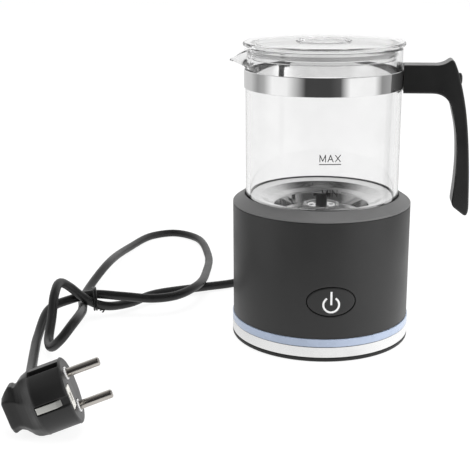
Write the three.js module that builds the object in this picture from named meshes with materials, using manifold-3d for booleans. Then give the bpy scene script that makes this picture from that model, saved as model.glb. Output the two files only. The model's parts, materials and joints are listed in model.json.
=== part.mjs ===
// Electric milk frother: a round power base, a lift-off glass jug with a lid and a whisk, and a
// mains lead that lies on the same surface. Millimetres, +Z up. The origin is the middle of the
// underside of the base. The button faces -Y. The jug stands turned a little on the base: its handle
// points near +X and its spout near -X.
import * as THREE from 'three';
import { mergeVertices } from 'three/addons/utils/BufferGeometryUtils.js';
import Module from 'manifold-3d';

const wasm = await Module();
wasm.setup();

// ---- driving dimensions ----
const GAP = 0.3; // between pieces that touch
const ROUND = 40; // sides of the large round pieces
const SMALL_ROUND = 14; // sides of screws, magnets and other small round pieces

const BASE_R = 57.5;
const FOOT_R = 58.1; // the light ring and what is below it stand a little proud
const COLLAR_TOP = 95.2; // the collar's cone ends where it meets the glass
const BASE_WALL = 2.5;
const COVER_TOP = 3.0;
const SILVER_TOP = 10.2;
const LIGHT_TOP = 15.2;
const COLLAR_Z = 89.6; // underside of the top collar's rim
const SEAT_R = 50.2; // inside of the well that the jug stands in
const PAD_R = 51.2;
const POST_R = 40; // circle of the three screw posts
const PLATE_TOP = 78.6; // top of the heater plate

const BUTTON_Z = 39.8;
const BUTTON_RX = 14.9;
const BUTTON_RZ = 9.3;
const BUTTON_CLEARANCE = 0.35;
const SYMBOL_Z = 38.9;
const SYMBOL_R = 5.0; // middle of the ring's stroke
const STROKE = 1.5;
const STROKE_TOP_Z = 46.4;

const JUG_TURN = THREE.MathUtils.degToRad(-9); // how the jug stands on the base in the photo
const GLASS_R = 49.2;
const GLASS_WALL = 2.6;
const GLASS_BOTTOM = 82.6;
const GLASS_TOP = 189.5;
const SPOUT_START_Z = 176;
const SPOUT_TIP_Z = 181.3;
const SPOUT_REACH = 10.3;
const SPOUT_HALF_ANGLE = THREE.MathUtils.degToRad(24);
const CUP_BOTTOM = 79.0;
const CUP_FLOOR = 80.0;
const CUP_TOP = 95.0;
const BAND_R = 50.1;
const BAND_WALL = 0.6;
const BAND_BOTTOM = 163.9;
const BAND_TOP = 175.4;

const HANDLE_WIDTH = 17;
const HANDLE_BEVEL = 1.0;
const SCREW_Z = 169.2;
const LID_R = 50.8;
const LID_TOP = 192.2;

const CORD_D = 6.2;
const CORD_SIDES = 8;
const CORD_STEPS = 76;
const CORD_EXIT_Z = 23;
const CORD_ROUTE = [
  [0, 76.6, 23], [-0.6, 85, 22.5], [-12, 98.5, 15.5], [-32, 98.5, 6.5], [-54, 90.7, 3.5], [-76, 81.3, 4],
  [-114, 59, 6.5], [-130, 44.3, 5.5], [-145, 32.6, 7.8], [-155, 26.8, 13], [-162.5, 24.5, 19.2],
  [-168.8, 21.8, 26], [-174, 13, 32], [-176, -2, 29], [-177, -13, 17], [-177.5, -28, 7.5],
  [-173.5, -43, 8.5], [-167, -48.5, 15.5], [-160, -42, 23], [-157, -26, 23.5], [-160.8, 24, 10.4],
  [-164.4, 68.6, 3.8], [-151.6, 121, 10.5], [-138, 188.8, 4], [-120.2, 225, 3.4],
  [-101, 232.2, 3.5], [-81.6, 215, 3.5], [-72.3, 164, 3.6], [-74.2, 111.5, 7], [-82.4, 56, 13.4],
  [-97, 37.5, 12.8], [-113, 32.5, 12.8], [-134, 33.3, 14.6], [-155.3, 33.2, 16.4],
  [-169, 27.2, 15.2], [-181.8, 14.5, 13.4], [-186.4, -14.5, 5], [-185.6, -36, 3.5],
  [-184, -56, 3.6], [-181.4, -80, 5.8], [-178.8, -94, 8.2], [-177.6, -105.2, 9.6],
];
const TIE_CENTRE = [-153, 30.7, 14];

const PLUG_FACE = [-149.05, -142, 23.9]; // middle of the face, between the two pins
const PLUG_YAW = THREE.MathUtils.degToRad(3.5);
const PLUG_PITCH = THREE.MathUtils.degToRad(19.2);
const PLUG_ROLL = THREE.MathUtils.degToRad(82.8);
const PLUG_R = 18.6;
const PIN_SPACING = 19;
const PIN_LENGTH = 19;
const PIN_D = 4.8;
const PLUG_EXIT_X = -29.5; // where the lead leaves the plug's side, behind the face

// ---- materials ----
function material(colour, roughness, metalness = 0, opacity = 1) {
  return new THREE.MeshStandardMaterial({
    color: colour, roughness, metalness, opacity, transparent: opacity < 1,
  });
}
const blackPlastic = () => material(0x2a2b2c, 0.55);
const greyCollar = () => material(0x4a4b4c, 0.5);
const glossBlack = () => material(0x151516, 0.3);
const steel = () => material(0xc9c9c9, 0.22, 1);
const mirrorSteel = () => material(0xe2e2e2, 0.06, 1);
const clearGlass = () => material(0xeef4f5, 0.03, 0, 0.3);
const silicone = () => material(0xdadada, 0.6);
const darkRubber = () => material(0x1d1d1e, 0.85);
const nickel = () => material(0xb8b0a6, 0.3, 1);
const circuitGreen = () => material(0x1f5a38, 0.6);

// ---- shape helpers ----
function facingOut(geometry) {
  const p = geometry.attributes.position;
  const index = geometry.index.array;
  const a = new THREE.Vector3();
  const b = new THREE.Vector3();
  const c = new THREE.Vector3();
  let volume = 0;
  for (let i = 0; i < index.length; i += 3) {
    a.fromBufferAttribute(p, index[i]);
    b.fromBufferAttribute(p, index[i + 1]);
    c.fromBufferAttribute(p, index[i + 2]);
    volume += a.dot(b.cross(c));
  }
  if (volume < 0) {
    for (let i = 0; i < index.length; i += 3) {
      [index[i], index[i + 1]] = [index[i + 1], index[i]];
    }
  }
  return geometry;
}

// One closed skin: shared vertices merged, flat triangles dropped, faces outwards.
function closed(source) {
  const geometry = source.clone();
  for (const name of Object.keys(geometry.attributes)) {
    if (name !== 'position') geometry.deleteAttribute(name);
  }
  const merged = mergeVertices(geometry, 1e-4);
  const kept = [];
  const index = merged.index.array;
  for (let i = 0; i < index.length; i += 3) {
    const [a, b, c] = [index[i], index[i + 1], index[i + 2]];
    if (a !== b && b !== c && a !== c) kept.push(a, b, c);
  }
  merged.setIndex(kept);
  return facingOut(merged);
}

function toSolid(geometry) {
  const skin = closed(geometry);
  return new wasm.Manifold(new wasm.Mesh({
    numProp: 3,
    vertProperties: new Float32Array(skin.attributes.position.array),
    triVerts: new Uint32Array(skin.index.array),
  }));
}

function toGeometry(solid) {
  const mesh = solid.getMesh();
  const geometry = new THREE.BufferGeometry();
  geometry.setAttribute('position', new THREE.BufferAttribute(mesh.vertProperties, 3));
  geometry.setIndex(new THREE.BufferAttribute(mesh.triVerts, 1));
  return geometry;
}

function cut(body, ...tools) {
  return toGeometry(tools.reduce((solid, tool) => solid.subtract(toSolid(tool)), toSolid(body)));
}

function join(body, ...others) {
  return toGeometry(others.reduce((solid, other) => solid.add(toSolid(other)), toSolid(body)));
}

function common(first, second) {
  return toGeometry(toSolid(first).intersect(toSolid(second)));
}

// A profile of [radius, height] points turned about the Z axis.
function turned(profile, sides = ROUND) {
  const points = profile.map(([r, z]) => new THREE.Vector2(r, z));
  return new THREE.LatheGeometry(points, sides).rotateX(Math.PI / 2);
}

function ring(inner, outer, bottom, top, sides = ROUND) {
  return turned([[inner, bottom], [outer, bottom], [outer, top], [inner, top], [inner, bottom]], sides);
}

function disc(radius, bottom, top, sides = ROUND) {
  return turned([[0, bottom], [radius, bottom], [radius, top], [0, top]], sides);
}

function slab(xSize, ySize, zSize, x = 0, y = 0, z = 0) {
  return new THREE.BoxGeometry(xSize, ySize, zSize).translate(x, y, z);
}

// A round bar along X from one place to another.
function barX(radius, from, to, z = 0, sides = SMALL_ROUND) {
  const bar = new THREE.CylinderGeometry(radius, radius, to - from, sides);
  return bar.rotateZ(Math.PI / 2).translate((from + to) / 2, 0, z);
}

// A flat outline drawn in X and Z, given a thickness along Y.
function alongY(shape, yFrom, yTo, curveSegments = 12) {
  const geometry = new THREE.ExtrudeGeometry(shape, {
    depth: yTo - yFrom, bevelEnabled: false, curveSegments,
  });
  return geometry.rotateX(Math.PI / 2).translate(0, yTo, 0);
}

function ellipseY(rx, rz, z, yFrom, yTo, curveSegments = 14) {
  const shape = new THREE.Shape();
  shape.absellipse(0, z, rx, rz, 0, Math.PI * 2);
  return alongY(shape, yFrom, yTo, curveSegments);
}

function named(name, geometry, look) {
  const mesh = new THREE.Mesh(closed(geometry), look);
  mesh.name = name;
  return mesh;
}

// ---- base ----
function baseHousing() {
  const shell = ring(BASE_R - BASE_WALL, BASE_R, LIGHT_TOP + GAP, COLLAR_Z - GAP);
  const buttonHole = ellipseY(BUTTON_RX + BUTTON_CLEARANCE, BUTTON_RZ + BUTTON_CLEARANCE,
    BUTTON_Z, -BASE_R - 5, -40);
  const cordHole = new THREE.CylinderGeometry(4.7, 4.7, 20, SMALL_ROUND);
  cordHole.translate(0, BASE_R, CORD_EXIT_Z);
  return cut(shell, buttonHole, cordHole);
}

function topCollar() {
  const lipR = SEAT_R - 1.4;
  return turned([
    [BASE_R, COLLAR_Z], [BASE_R, COLLAR_Z + 0.5], [BASE_R - 0.5, COLLAR_Z + 1.1],
    [SEAT_R + 0.8, COLLAR_TOP - 0.2], [SEAT_R + 0.2, COLLAR_TOP], [SEAT_R - 0.2, COLLAR_TOP - 0.4],
    [SEAT_R, COLLAR_TOP - 1], [SEAT_R, 78.0], [lipR, 78.0], [lipR, 74.0], [52.2, 74.0],
    [52.2, COLLAR_Z], [BASE_R, COLLAR_Z],
  ]);
}

function bottomCover() {
  const plate = turned([
    [0, 1.6], [PAD_R + 0.4, 1.6], [PAD_R + 0.4, 0.5], [FOOT_R - 0.6, 0.5], [FOOT_R, 1.1],
    [FOOT_R, COVER_TOP], [54, COVER_TOP], [54, 4.0], [0, 4.0],
  ]);
  const holes = postPlaces().flatMap(([x, y]) => [
    disc(3.4, 1, 3.1, SMALL_ROUND).translate(x, y, 0),
    disc(1.7, 1, 5, SMALL_ROUND).translate(x, y, 0),
  ]);
  return cut(plate, ...holes);
}

function postPlaces() {
  return [60, 180, 300].map((degrees) => {
    const angle = THREE.MathUtils.degToRad(degrees);
    return [POST_R * Math.cos(angle), POST_R * Math.sin(angle)];
  });
}

function coverScrew() {
  return turned([
    [0, 1.7], [3.0, 1.7], [3.0, 2.3], [1.35, 2.8], [1.35, 11.5], [0.6, 12.6], [0, 12.6],
  ], SMALL_ROUND);
}

function motorBracket() {
  const plate = ring(5, 46, 60, 62.4, 30);
  const posts = postPlaces().map(([x, y]) => disc(4, 4.3, 61, SMALL_ROUND).translate(x, y, 0));
  const bores = postPlaces().map(([x, y]) => disc(1.7, 4, 14, SMALL_ROUND).translate(x, y, 0));
  return cut(join(plate, ...posts), ...bores);
}

function motorCan() {
  return turned([
    [0, 36], [4, 36], [4, 37.5], [15, 37.5], [16, 38.5], [16, 58.7], [15, 59.7], [4.6, 59.7],
    [4.6, 61.6], [1.9, 61.6], [1.9, 50], [0, 50],
  ], 24);
}

function heatingElement() {
  return new THREE.TorusGeometry(36, 2.6, 6, 30).translate(0, 0, 73);
}

function strainRelief() {
  const sleeve = turned([
    [0, 50.5], [6.5, 50.5], [6.5, 54.1], [4.35, 54.1], [4.35, 58.1], [6.2, 58.1], [6.2, 59.9],
    [4.8, 60.7], [4.0, 75.2], [3.6, 75.8], [0, 75.8],
  ], SMALL_ROUND);
  return sleeve.rotateX(-Math.PI / 2).translate(0, 0, CORD_EXIT_Z);
}

function addBase(part) {
  part.add(named('base_housing', baseHousing(), blackPlastic()));
  part.add(named('top_collar', topCollar(), greyCollar()));
  part.add(named('light_ring', ring(53, FOOT_R, SILVER_TOP + GAP, LIGHT_TOP), material(0xb4bde0, 0.35)));
  part.add(named('silver_ring', ring(54.5, FOOT_R, COVER_TOP + GAP, SILVER_TOP), steel()));
  part.add(named('bottom_cover', bottomCover(), blackPlastic()));
  part.add(named('non_slip_pad', disc(PAD_R, 0, 1.3), darkRubber()));
  postPlaces().forEach(([x, y], i) => {
    const screw = named(`cover_screw_${i + 1}`, coverScrew(), nickel());
    screw.position.set(x, y, 0);
    part.add(screw);
  });
  part.add(named('heater_plate', disc(48.4, 76.2, PLATE_TOP), steel()));
  part.add(named('heater_gasket', ring(45, 48.4, 74.2, 75.9), silicone()));
  part.add(named('heating_element', heatingElement(), nickel()));
  part.add(named('thermostat', disc(6.5, 70, 75.8, SMALL_ROUND).translate(-26, 0, 0), blackPlastic()));
  part.add(named('motor', motorCan(), nickel()));
  part.add(named('motor_bracket', motorBracket(), material(0x8a8c8e, 0.6)));
  part.add(named('control_board', slab(56, 50, 1.6, 0, 4, 23), circuitGreen()));
  part.add(named('relay', slab(19, 15, 11, 12, 8, 29.7), material(0x2c4a8a, 0.5)));
  part.add(named('capacitor', disc(6, 24.2, 34, SMALL_ROUND).translate(-16, 14, 0), glossBlack()));
  part.add(named('switch_board', slab(24, 1.6, 18, 0, -42.3, BUTTON_Z), circuitGreen()));
  part.add(named('tactile_switch', tactileSwitch(), glossBlack()));
  part.add(named('led_board', ring(46, 52.6, 11.5, 13.1, 36), circuitGreen()));
  part.add(named('strain_relief', strainRelief(), darkRubber()));
  part.add(named('cord_clamp', slab(16, 8, 11, 0, 46.1, CORD_EXIT_Z), material(0xdddddd, 0.5)));
}

// ---- power button ----
function tactileSwitch() {
  const body = slab(6, 2.4, 6, 0, -44.6, BUTTON_Z);
  const plunger = new THREE.CylinderGeometry(1.7, 1.7, 1.2, SMALL_ROUND);
  return join(body, plunger.translate(0, -45.6, BUTTON_Z));
}

function arcShape(inner, outer, halfGap) {
  const from = Math.PI / 2 + halfGap;
  const to = Math.PI / 2 - halfGap + Math.PI * 2;
  const shape = new THREE.Shape();
  shape.absarc(0, SYMBOL_Z, outer, from, to, false);
  shape.absarc(0, SYMBOL_Z, inner, to, from, true);
  shape.closePath();
  return shape;
}

function barShape(margin) {
  const half = STROKE / 2 + margin;
  const bottom = SYMBOL_Z - 1.1 - margin;
  const shape = new THREE.Shape();
  shape.moveTo(-half, bottom);
  shape.lineTo(half, bottom);
  shape.lineTo(half, STROKE_TOP_Z + margin);
  shape.lineTo(-half, STROKE_TOP_Z + margin);
  shape.closePath();
  return shape;
}

function symbolArc(margin) {
  const angleMargin = margin / SYMBOL_R;
  return arcShape(SYMBOL_R - STROKE / 2 - margin, SYMBOL_R + STROKE / 2 + margin,
    THREE.MathUtils.degToRad(33) - angleMargin);
}

function powerButton() {
  const block = ellipseY(BUTTON_RX, BUTTON_RZ, BUTTON_Z, -BASE_R - 3, -50.2);
  const face = common(block, disc(BASE_R, BUTTON_Z - 20, BUTTON_Z + 20, 72));
  const flange = ellipseY(16.6, 11, BUTTON_Z, -51.2, -49.4);
  const stem = new THREE.CylinderGeometry(2, 2, 2.4, SMALL_ROUND).translate(0, -48.6, BUTTON_Z);
  const whole = join(face, flange, stem);
  const recess = ring(BASE_R - 0.9, BASE_R + 3, BUTTON_Z - 19, BUTTON_Z + 19, 72);
  const arcPocket = common(alongY(symbolArc(GAP), -BASE_R - 3, -50), recess);
  const barPocket = common(alongY(barShape(GAP), -BASE_R - 3, -50), recess);
  return cut(whole, arcPocket, barPocket);
}

function inlay(shape) {
  const skin = ring(BASE_R - 0.6, BASE_R + 0.05, BUTTON_Z - 18, BUTTON_Z + 18, 72);
  return common(alongY(shape, -BASE_R - 2, -50), skin);
}

function addButton(part) {
  const white = () => material(0xf4f4f4, 0.5);
  part.add(named('power_button', powerButton(), blackPlastic()));
  part.add(named('power_symbol_ring', inlay(symbolArc(0)), white()));
  part.add(named('power_symbol_bar', inlay(barShape(0)), white()));
}

// ---- magnetic drive under the heater plate ----
function addDrive(part) {
  part.add(named('motor_shaft', disc(1.5, 50.4, 68.2, SMALL_ROUND), steel()));
  part.add(named('magnet_rotor', disc(18, 68.5, 70.3, 28), material(0xe6e2d6, 0.6)));
  for (let i = 0; i < 4; i += 1) {
    const angle = (i * Math.PI) / 2;
    const magnet = named(`drive_magnet_${i + 1}`, disc(3.6, 70.6, 73.6, SMALL_ROUND), nickel());
    magnet.position.set(12 * Math.cos(angle), 12 * Math.sin(angle), 0);
    part.add(magnet);
  }
}

// ---- jug ----
// The wall runs straight up to SPOUT_START_Z. Above that, the part of the rim that faces -X leans
// outwards and dips, which makes the spout.
function jugGlass() {
  const sides = 60;
  const wall = [[0, 0], [0, 0.25], [0, 0.5], [0, 0.75], [0, 0.97], [1, 0.97], [1, 0.75],
    [1, 0.5], [1, 0.25], [1, 0]];
  const loop = [[0, -1], ...wall, [1, -1]];
  const positions = [];
  const triangles = [];
  for (let i = 0; i < sides; i += 1) {
    const angle = (i / sides) * Math.PI * 2;
    const away = Math.abs(Math.atan2(Math.sin(angle - Math.PI), Math.cos(angle - Math.PI)));
    const lean = away < SPOUT_HALF_ANGLE ? Math.cos((away / SPOUT_HALF_ANGLE) * (Math.PI / 2)) ** 2 : 0;
    const rimZ = GLASS_TOP - (GLASS_TOP - SPOUT_TIP_Z) * lean;
    for (const [isInner, up] of loop) {
      const straight = up < 0;
      const ease = straight ? 0 : up ** 1.15;
      const radius = GLASS_R - isInner * GLASS_WALL + SPOUT_REACH * lean * ease;
      const z = straight ? GLASS_BOTTOM : SPOUT_START_Z + (rimZ - SPOUT_START_Z) * up;
      positions.push(radius * Math.cos(angle), radius * Math.sin(angle), z);
    }
  }
  const n = loop.length;
  for (let i = 0; i < sides; i += 1) {
    const next = (i + 1) % sides;
    for (let k = 0; k < n; k += 1) {
      const up = (k + 1) % n;
      triangles.push(i * n + k, next * n + k, next * n + up);
      triangles.push(i * n + k, next * n + up, i * n + up);
    }
  }
  const geometry = new THREE.BufferGeometry();
  geometry.setAttribute('position', new THREE.Float32BufferAttribute(positions, 3));
  geometry.setIndex(triangles);
  return geometry;
}

function jugBaseCup() {
  return turned([
    [0, CUP_BOTTOM], [27.6, CUP_BOTTOM], [29.4, 80.4], [31.3, 87.6], [34.4, 89.9], [39.4, 92],
    [43.8, CUP_TOP - 1.2], [45.1, CUP_TOP - 2], [45.1, 79.8], [49.1, 79.8], [49.1, 80.9],
    [46.2, 80.9], [46.2, CUP_TOP - 1], [45.4, CUP_TOP], [44.4, CUP_TOP - 0.1], [39, 92.9],
    [33.8, 90.8], [30.4, 88.4], [28.5, 81.2], [27, CUP_FLOOR], [0, CUP_FLOOR],
  ]);
}

function whiskPin() {
  return turned([
    [0, CUP_FLOOR + GAP], [3.2, CUP_FLOOR + GAP], [3.2, 80.9], [1.95, 81.1], [1.95, 89.8],
    [1.2, 90.6], [0, 90.8],
  ], SMALL_ROUND);
}

function steelBand() {
  const band = ring(BAND_R - BAND_WALL, BAND_R, BAND_BOTTOM, BAND_TOP, 60);
  const stud = barX(3.6, BAND_R - 0.4, 57.9, SCREW_Z);
  const thread = barX(2.2, 52.5, 60, SCREW_Z);
  return cut(join(band, stud), thread);
}

function handleOutline() {
  const arc = (x, z) => new THREE.Vector2(x, z);
  const shape = new THREE.Shape();
  shape.moveTo(48.3, 178.5);
  shape.lineTo(70, 178.5);
  shape.quadraticCurveTo(74, 178.7, 76.6, 180.6);
  shape.quadraticCurveTo(79.6, 183.2, 81.0, 179.6);
  shape.splineThru([arc(83.3, 173.6), arc(86.6, 161.3), arc(89.2, 148), arc(91.2, 131.5),
    arc(92.7, 111), arc(93.5, 90.5)]);
  shape.quadraticCurveTo(93.7, 81.6, 90.0, 84.2);
  shape.lineTo(84.8, 88.2);
  shape.quadraticCurveTo(82.4, 90.0, 82.8, 93.6);
  shape.splineThru([arc(83.9, 107), arc(84.2, 122), arc(82.9, 138.2), arc(79.6, 152.8)]);
  shape.quadraticCurveTo(76.6, 161, 67.8, 161);
  shape.lineTo(48.3, 161);
  shape.closePath();
  return shape;
}

function handle() {
  const grip = new THREE.ExtrudeGeometry(handleOutline(), {
    depth: HANDLE_WIDTH - 2 * HANDLE_BEVEL, bevelEnabled: true, bevelThickness: HANDLE_BEVEL,
    bevelSize: HANDLE_BEVEL, bevelOffset: -HANDLE_BEVEL, bevelSegments: 1, curveSegments: 4,
  });
  grip.rotateX(Math.PI / 2).translate(0, HANDLE_WIDTH / 2 - HANDLE_BEVEL, 0);
  const jugClearance = disc(BAND_R + GAP, 150, 190);
  const studPocket = barX(4.0, 45, 58.4, SCREW_Z);
  const screwHole = barX(2.3, 50, 90, SCREW_Z);
  const headHole = barX(4.4, 79.0, 100, SCREW_Z);
  return cut(grip, jugClearance, studPocket, screwHole, headHole);
}

function handleScrew() {
  return join(barX(1.85, 53, 80, SCREW_Z), barX(3.8, 79.4, 81.8, SCREW_Z));
}

function screwCap() {
  const cap = turned([[0, 82.2], [4.0, 82.2], [4.0, 85.2], [3.2, 85.9], [0, 86.1]], SMALL_ROUND);
  return cap.rotateY(Math.PI / 2).translate(0, 0, SCREW_Z);
}

function addJug(part) {
  const jug = new THREE.Group();
  jug.rotation.z = JUG_TURN;
  jug.add(named('jug_glass', jugGlass(), clearGlass()));
  jug.add(named('jug_base_cup', jugBaseCup(), mirrorSteel()));
  jug.add(named('jug_seal', ring(46.5, 49.1, 81.2, GLASS_BOTTOM - GAP), silicone()));
  jug.add(named('whisk_pin', whiskPin(), mirrorSteel()));
  jug.add(named('steel_band', steelBand(), mirrorSteel()));
  jug.add(named('handle', handle(), glossBlack()));
  jug.add(named('handle_screw', handleScrew(), nickel()));
  jug.add(named('screw_cap', screwCap(), glossBlack()));
  part.add(jug);
}

// ---- lid ----
function lid() {
  const under = GLASS_TOP + 0.4;
  return turned([
    [0, 190.3], [43.2, 190.2], [43.2, 181.9], [45.2, 181.7], [45.2, 184.0], [44.4, 184.1],
    [44.4, 187.2], [45.2, 187.3], [45.3, under], [50.4, under], [LID_R, under + 0.5],
    [LID_R, LID_TOP - 0.6], [50.2, LID_TOP], [17.6, LID_TOP], [17.0, LID_TOP + 0.9],
    [15.6, LID_TOP + 0.9], [15.0, LID_TOP - 0.2], [0, LID_TOP - 0.2],
  ]);
}

function lidSeal() {
  return turned([
    [44.7, 184.4], [45.6, 184.4], [46.3, 185.6], [45.6, 186.9], [44.7, 186.9], [44.7, 184.4],
  ]);
}

// ---- whisk ----
function whiskHub() {
  const hub = turned([
    [0, 91.6], [2.4, 91.4], [2.4, 81.3], [3.2, 81.3], [3.2, 84.0], [7.6, 84.0], [7.6, 81.3],
    [8.4, 81.3], [8.4, 84.8], [4.4, 85.5], [3.7, 86.2], [3.7, 94.4], [3.2, 95.0], [0, 95.0],
  ], 20);
  return join(hub, slab(10.8, 3.2, 1.8, 0, 0, 94.3));
}

function whiskDisc() {
  const holes = [];
  for (let i = 0; i < 6; i += 1) {
    const angle = (i * Math.PI) / 3;
    holes.push(disc(1.5, 86, 88, 8).translate(6.4 * Math.cos(angle), 6.4 * Math.sin(angle), 0));
  }
  return cut(ring(4.0, 9.0, 86.5, 87.3, 24), ...holes);
}

function addWhisk(part) {
  part.add(named('whisk_hub', whiskHub(), glossBlack()));
  part.add(named('whisk_magnet', ring(3.5, 7.3, 81.4, 83.7, 20), nickel()));
  part.add(named('whisk_disc', whiskDisc(), steel()));
  part.add(named('whisk_coil', new THREE.TorusGeometry(10.6, 1.3, 6, 28).translate(0, 0, 86.9), steel()));
}

// ---- mains lead ----
function cord() {
  const route = CORD_ROUTE.map((point) => new THREE.Vector3(...point));
  const section = new THREE.Shape();
  for (let i = 0; i < CORD_SIDES; i += 1) {
    const angle = (i / CORD_SIDES) * Math.PI * 2;
    const x = (CORD_D / 2) * Math.cos(angle);
    const y = (CORD_D / 2) * Math.sin(angle);
    if (i === 0) section.moveTo(x, y);
    else section.lineTo(x, y);
  }
  section.closePath();
  return new THREE.ExtrudeGeometry(section, {
    steps: CORD_STEPS, extrudePath: new THREE.CatmullRomCurve3(route, false, 'centripetal'),
  });
}

// The wire tie goes once round two strands, one above and behind the other.
function cordTie() {
  const loop = new THREE.TorusGeometry(1, 0.08, 5, 20).scale(9.0, 5.6, 7);
  return loop.rotateY(Math.PI / 2).rotateX(-0.89).rotateZ(0.15).translate(...TIE_CENTRE);
}

// ---- plug, drawn with its pins along +X and its face at X = 0 ----
function aboutX(profile, sides = 32) {
  return turned(profile, sides).rotateY(Math.PI / 2);
}

const INSERT_Z = 10.4;

function plugBody() {
  const body = aboutX([
    [0, -36], [9.6, -36], [10.8, -35.2], [11.4, -31.5], [10.9, -29.5], [13.4, -26.5],
    [16.8, -23.6], [18.2, -20], [PLUG_R, -17], [PLUG_R, -1], [PLUG_R - 1, 0], [0, 0],
  ]);
  const bulge = aboutX([[0, -36], [9.8, -36], [11, -35], [11.4, -31.5], [11.2, -26], [0, -24]]);
  bulge.translate(0, 3.4, 0);
  const guides = [1, -1].map((side) => slab(22, 3, 5.5, -9, side * (PLUG_R - 0.6), 0));
  const clipSlots = [1, -1].map((side) => slab(19.4, 5.2, 4.4, -9.1, 0, side * (PLUG_R - 0.4)));
  const pinHoles = [1, -1].map((side) => barX(3.9, -2.4, 2, 0).translate(0, side * (PIN_SPACING / 2), 0));
  const insertPocket = slab(6, 12.6, 7.1, 0, -0.5, INSERT_Z);
  const leadHole = disc(5.6, -30, -5.7, 24).translate(PLUG_EXIT_X, 0, 0);
  return cut(join(body, bulge), ...guides, ...clipSlots, ...pinHoles, insertPocket, leadHole);
}

function plugFaceInsert() {
  return cut(slab(2.5, 12, 6.5, -1.1, -0.5, INSERT_Z), barX(2.0, -5, 5, INSERT_Z));
}

function plugPin() {
  const r = PIN_D / 2;
  return aboutX([
    [0, -1.9], [r, -1.9], [r, PIN_LENGTH - 1.6], [r * 0.72, PIN_LENGTH - 0.4], [0, PIN_LENGTH],
  ], 16);
}

function pinCollar() {
  const r = PIN_D / 2 + GAP;
  return aboutX([[r, -2.0], [3.6, -2.0], [3.6, 0.6], [r, 0.6], [r, -2.0]], SMALL_ROUND);
}

function earthClip() {
  const [from, to] = [-18.2, -2];
  return slab(to - from, 4.2, 1.3, (from + to) / 2, 0, PLUG_R - 0.9);
}

function plugRelief() {
  return turned([
    [0, -38], [3.7, -38], [4.1, -37.2], [5.2, -20], [5.2, -6], [0, -6],
  ], 24).translate(PLUG_EXIT_X, 0, 0);
}

function addPlug(part) {
  const plug = new THREE.Group();
  plug.position.set(...PLUG_FACE);
  plug.rotation.set(PLUG_ROLL, -PLUG_PITCH, PLUG_YAW, 'ZYX');
  plug.add(named('plug_body', plugBody(), blackPlastic()));
  plug.add(named('plug_face_insert', plugFaceInsert(), material(0xd8d6cf, 0.6)));
  [1, -1].forEach((side, i) => {
    const pin = named(`plug_pin_${i + 1}`, plugPin(), nickel());
    pin.position.y = side * (PIN_SPACING / 2);
    const collar = named(`pin_collar_${i + 1}`, pinCollar(), material(0xeeeeea, 0.5));
    collar.position.y = side * (PIN_SPACING / 2);
        const clip = named(`earth_clip_${i + 1}`, earthClip(), nickel());
    clip.rotation.x = side === 1 ? 0 : Math.PI;
    plug.add(pin, collar, clip);
  });
  plug.add(named('plug_relief', plugRelief(), blackPlastic()));
  part.add(plug);
}

function addLead(part) {
  part.add(named('cord', cord(), material(0x222324, 0.5)));
  part.add(named('cord_tie', cordTie(), glossBlack()));
  addPlug(part);
}

const part = new THREE.Group();
addBase(part);
addButton(part);
addDrive(part);
addJug(part);
part.add(named('lid', lid(), material(0xf2f4f4, 0.1, 0, 0.35)));
part.add(named('lid_seal', lidSeal(), silicone()));
addWhisk(part);
addLead(part);

export default part;
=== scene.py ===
import json
import math

import bmesh
import bpy
from mathutils import Euler, Matrix, Vector


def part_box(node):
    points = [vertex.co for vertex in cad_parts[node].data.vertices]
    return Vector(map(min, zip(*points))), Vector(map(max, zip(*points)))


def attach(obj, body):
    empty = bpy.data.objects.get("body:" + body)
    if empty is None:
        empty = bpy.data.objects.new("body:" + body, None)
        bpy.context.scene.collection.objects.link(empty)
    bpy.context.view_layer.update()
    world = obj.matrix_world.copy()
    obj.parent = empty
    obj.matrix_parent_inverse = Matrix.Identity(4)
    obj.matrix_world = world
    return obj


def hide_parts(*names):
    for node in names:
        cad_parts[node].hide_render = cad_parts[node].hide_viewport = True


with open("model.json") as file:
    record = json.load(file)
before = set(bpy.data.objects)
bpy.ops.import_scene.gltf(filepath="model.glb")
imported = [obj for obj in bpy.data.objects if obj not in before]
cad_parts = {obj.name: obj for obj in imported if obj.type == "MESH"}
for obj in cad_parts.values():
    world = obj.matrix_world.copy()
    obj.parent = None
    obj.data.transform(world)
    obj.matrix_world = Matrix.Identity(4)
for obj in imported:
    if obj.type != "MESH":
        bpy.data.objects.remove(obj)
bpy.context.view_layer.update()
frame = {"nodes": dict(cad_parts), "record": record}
MM = 0.001
TAU = 2 * math.pi


# ---- the frame's own measures, in millimetres ----
def low(node):
    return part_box(node)[0] / MM


def high(node):
    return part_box(node)[1] / MM


def placed(name, data):
    """A new object in the scene."""
    thing = bpy.data.objects.new(name, data)
    bpy.context.scene.collection.objects.link(thing)
    return thing


# ---- camera ----
CAMERA_PLACE = (-0.0821, -0.6498, 0.2530)
CAMERA_HEADING = math.radians(2.261)
CAMERA_PITCH = math.radians(15.951)
CAMERA_ROLL = -0.0062
CAMERA_LENS = 78.95


def make_camera():
    data = bpy.data.cameras.new("camera")
    data.lens = CAMERA_LENS
    data.sensor_width = 36
    data.clip_start = 0.05
    data.clip_end = 60
    forward = Vector((
        math.sin(CAMERA_HEADING) * math.cos(CAMERA_PITCH),
        math.cos(CAMERA_HEADING) * math.cos(CAMERA_PITCH),
        -math.sin(CAMERA_PITCH),
    ))
    level = Vector((math.cos(CAMERA_HEADING), -math.sin(CAMERA_HEADING), 0))
    upright = level.cross(forward)
    right = math.cos(CAMERA_ROLL) * level + math.sin(CAMERA_ROLL) * upright
    up = math.cos(CAMERA_ROLL) * upright - math.sin(CAMERA_ROLL) * level
    turn = Matrix((right, up, -forward)).transposed().to_4x4()
    camera = placed("camera", data)
    camera.matrix_world = Matrix.Translation(CAMERA_PLACE) @ turn
    bpy.context.scene.camera = camera


make_camera()


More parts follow.
